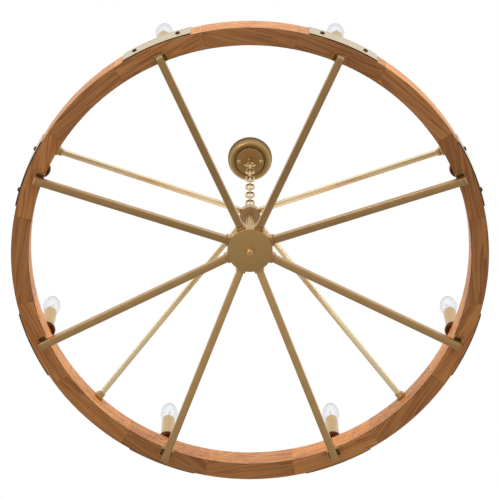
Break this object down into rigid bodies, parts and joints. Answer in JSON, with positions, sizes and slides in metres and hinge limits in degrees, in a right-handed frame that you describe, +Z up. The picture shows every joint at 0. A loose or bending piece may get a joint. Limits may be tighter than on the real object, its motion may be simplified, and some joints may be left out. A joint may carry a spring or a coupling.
{
  "type": "wagon wheel chandelier",
  "caption": "Hanging chandelier: a wooden wheel rim on square brass spokes, candle lamps on the rim, stay rods to a stem, and a chain up to a round ceiling canopy.",
  "frame": {"origin": "centre of the ceiling plate's top face, in the plane of the ceiling", "axes": "+Z up, along the chain; the wheel is mirror-symmetric about X = 0 and lies in planes square to Z"},
  "size_m": [0.9138, 0.9138, 0.7088],
  "materials": {
    "brass": "satin brushed",
    "pale_brass": "polished satin",
    "antique_brass": "polished, darkened in the steps",
    "bronze": "dark bronze",
    "wood": "stained oak, satin lacquer",
    "steel": "zinc plated",
    "socket_plastic": "moulded",
    "bulb_glass": "clear"
  },
  "bodies": {
    "ceiling_mount": {"crossbar": "steel", "canopy": "antique_brass", "canopy_screws": "brass", "ceiling_nipple": "steel", "ceiling_nut": "steel", "ceiling_loop": "brass"},
    "chain_link_01": {"chain_link_01": "brass"},
    "chain_link_02": {"chain_link_02": "brass"},
    "chain_link_03": {"chain_link_03": "brass"},
    "chain_link_04": {"chain_link_04": "brass"},
    "chain_link_05": {"chain_link_05": "brass"},
    "chain_link_06": {"chain_link_06": "brass"},
    "chain_link_07": {"chain_link_07": "brass"},
    "chain_link_08": {"chain_link_08": "brass"},
    "chain_link_09": {"chain_link_09": "brass"},
    "chain_link_10": {"chain_link_10": "brass"},
    "chain_link_11": {"chain_link_11": "brass"},
    "wheel": {"stem_loop": "brass", "upper_hub": "brass", "stem_tube": "brass", "hub_shell": "brass", "hub_cover": "brass", "hub_nipple": "steel", "hub_nut": "steel", "stay_rod_1": "pale_brass", "stay_rod_2": "pale_brass", "stay_rod_3": "pale_brass", "stay_rod_4": "pale_brass", "stay_feet": "brass", "spoke_1": "brass", "spoke_2": "brass", "spoke_3": "brass", "spoke_4": "brass", "spoke_5": "brass", "spoke_6": "brass", "spoke_7": "brass", "spoke_8": "brass", "spoke_collars": "brass", "spoke_caps": "brass", "spoke_flanges": "brass", "felloes_with_lamp": "wood", "felloes_between": "wood", "strap_plates": "pale_brass", "strap_bolts": "bronze", "lamp_nipples": "steel", "drip_cups": "brass", "candle_sleeves": "brass", "lamp_sockets": "socket_plastic"},
    "finial": {"finial": "brass"},
    "bulb_1": {"bulb_1": "bulb_glass"},
    "bulb_2": {"bulb_2": "bulb_glass"},
    "bulb_3": {"bulb_3": "bulb_glass"},
    "bulb_4": {"bulb_4": "bulb_glass"},
    "bulb_5": {"bulb_5": "bulb_glass"},
    "bulb_6": {"bulb_6": "bulb_glass"},
    "bulb_7": {"bulb_7": "bulb_glass"},
    "bulb_8": {"bulb_8": "bulb_glass"}
  },
  "joints": [
    {"name": "chain_swing_01", "type": "hinge", "parent": "ceiling_mount", "child": "chain_link_01", "pos_m": [0, 0, -0.058], "axis": [1, 0, 0], "range_deg": [-5, 5]},
    {"name": "chain_swing_02", "type": "hinge", "parent": "chain_link_01", "child": "chain_link_02", "pos_m": [0, 0, -0.08556], "axis": [0, 1, 0], "range_deg": [-5, 5]},
    {"name": "chain_swing_03", "type": "hinge", "parent": "chain_link_02", "child": "chain_link_03", "pos_m": [0, 0, -0.11331], "axis": [1, 0, 0], "range_deg": [-5, 5]},
    {"name": "chain_swing_04", "type": "hinge", "parent": "chain_link_03", "child": "chain_link_04", "pos_m": [0, 0, -0.14106], "axis": [0, 1, 0], "range_deg": [-5, 5]},
    {"name": "chain_swing_05", "type": "hinge", "parent": "chain_link_04", "child": "chain_link_05", "pos_m": [0, 0, -0.16882], "axis": [1, 0, 0], "range_deg": [-5, 5]},
    {"name": "chain_swing_06", "type": "hinge", "parent": "chain_link_05", "child": "chain_link_06", "pos_m": [0, 0, -0.19657], "axis": [0, 1, 0], "range_deg": [-5, 5]},
    {"name": "chain_swing_07", "type": "hinge", "parent": "chain_link_06", "child": "chain_link_07", "pos_m": [0, 0, -0.22433], "axis": [1, 0, 0], "range_deg": [-5, 5]},
    {"name": "chain_swing_08", "type": "hinge", "parent": "chain_link_07", "child": "chain_link_08", "pos_m": [0, 0, -0.25208], "axis": [0, 1, 0], "range_deg": [-5, 5]},
    {"name": "chain_swing_09", "type": "hinge", "parent": "chain_link_08", "child": "chain_link_09", "pos_m": [0, 0, -0.27984], "axis": [1, 0, 0], "range_deg": [-5, 5]},
    {"name": "chain_swing_10", "type": "hinge", "parent": "chain_link_09", "child": "chain_link_10", "pos_m": [0, 0, -0.30759], "axis": [0, 1, 0], "range_deg": [-5, 5]},
    {"name": "chain_swing_11", "type": "hinge", "parent": "chain_link_10", "child": "chain_link_11", "pos_m": [0, 0, -0.33535], "axis": [1, 0, 0], "range_deg": [-5, 5]},
    {"name": "wheel_swing", "type": "hinge", "parent": "chain_link_11", "child": "wheel", "pos_m": [0, 0, -0.3631], "axis": [0, 1, 0], "range_deg": [-5, 5]},
    {"name": "finial_turn", "type": "hinge", "parent": "wheel", "child": "finial", "pos_m": [0, 0, -0.62], "axis": [0, 0, -1], "range_deg": [0, 1440]},
    {"name": "bulb_1_turn", "type": "hinge", "parent": "wheel", "child": "bulb_1", "pos_m": [0.39912, 0.16532, -0.5208], "axis": [0, 0, 1], "range_deg": [0, 1440]},
    {"name": "bulb_2_turn", "type": "hinge", "parent": "wheel", "child": "bulb_2", "pos_m": [0.16532, 0.39912, -0.5208], "axis": [0, 0, 1], "range_deg": [0, 1440]},
    {"name": "bulb_3_turn", "type": "hinge", "parent": "wheel", "child": "bulb_3", "pos_m": [-0.16532, 0.39912, -0.5208], "axis": [0, 0, 1], "range_deg": [0, 1440]},
    {"name": "bulb_4_turn", "type": "hinge", "parent": "wheel", "child": "bulb_4", "pos_m": [-0.39912, 0.16532, -0.5208], "axis": [0, 0, 1], "range_deg": [0, 1440]},
    {"name": "bulb_5_turn", "type": "hinge", "parent": "wheel", "child": "bulb_5", "pos_m": [-0.39912, -0.16532, -0.5208], "axis": [0, 0, 1], "range_deg": [0, 1440]},
    {"name": "bulb_6_turn", "type": "hinge", "parent": "wheel", "child": "bulb_6", "pos_m": [-0.16532, -0.39912, -0.5208], "axis": [0, 0, 1], "range_deg": [0, 1440]},
    {"name": "bulb_7_turn", "type": "hinge", "parent": "wheel", "child": "bulb_7", "pos_m": [0.16532, -0.39912, -0.5208], "axis": [0, 0, 1], "range_deg": [0, 1440]},
    {"name": "bulb_8_turn", "type": "hinge", "parent": "wheel", "child": "bulb_8", "pos_m": [0.39912, -0.16532, -0.5208], "axis": [0, 0, 1], "range_deg": [0, 1440]}
  ]
}
